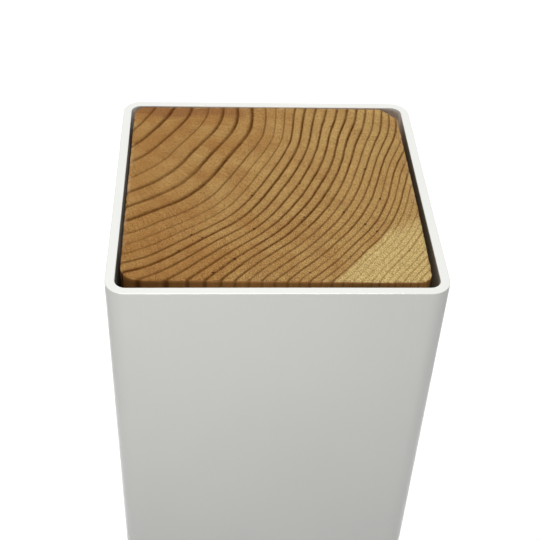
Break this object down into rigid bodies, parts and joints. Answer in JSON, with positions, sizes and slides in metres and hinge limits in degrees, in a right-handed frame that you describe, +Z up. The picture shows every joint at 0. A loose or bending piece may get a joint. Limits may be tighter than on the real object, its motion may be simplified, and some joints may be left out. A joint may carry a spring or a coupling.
{
  "type": "post sleeve",
  "caption": "Square white extruded post sleeve with rounded corners, standing round a sawn timber post whose end grain shows flush inside the rim; cut flat below.",
  "frame": {"origin": "centre of the sleeve's foot, on the surface that it stands on", "axes": "+Z up along the sleeve, -Y towards the front face that the picture shows, +X to the right of it"},
  "size_m": [0.1524, 0.1524, 1],
  "materials": {
    "sleeve": "satin white extruded PVC, plain, with sawn ends",
    "timber": "sawn softwood, brown heartwood with a pale sapwood corner, thin dark growth rings"
  },
  "bodies": {
    "root": {"sleeve": "sleeve", "timber_post": "timber"}
  },
  "joints": []
}
